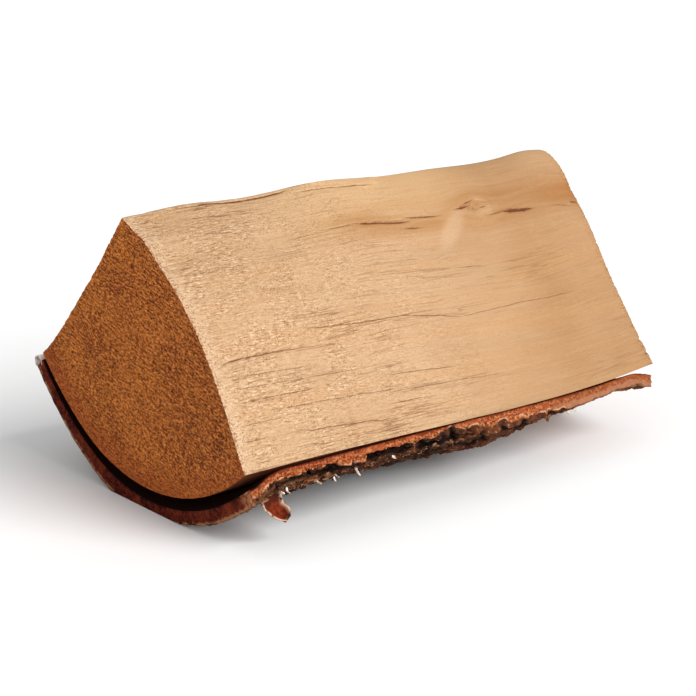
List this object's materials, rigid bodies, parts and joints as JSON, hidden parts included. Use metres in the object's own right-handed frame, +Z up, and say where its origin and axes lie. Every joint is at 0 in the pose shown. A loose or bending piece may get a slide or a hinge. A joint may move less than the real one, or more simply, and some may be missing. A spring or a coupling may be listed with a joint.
{
  "type": "firewood log",
  "caption": "Short split log of birch, a wedge cut from a round trunk, with sawn ends, two split faces and loose bark on its round side.",
  "frame": {"origin": "on the ground, under the middle of the log", "axes": "+X along the grain, towards the right sawn end; +Z up; -Y out of the side of the front split face"},
  "size_m": [0.25, 0.1703, 0.132],
  "materials": {
    "split_wood": "raw split and sawn wood",
    "bark": "rough dry birch bark"
  },
  "bodies": {
    "root": {"split_wood": "split_wood", "bark": "bark"}
  },
  "joints": []
}
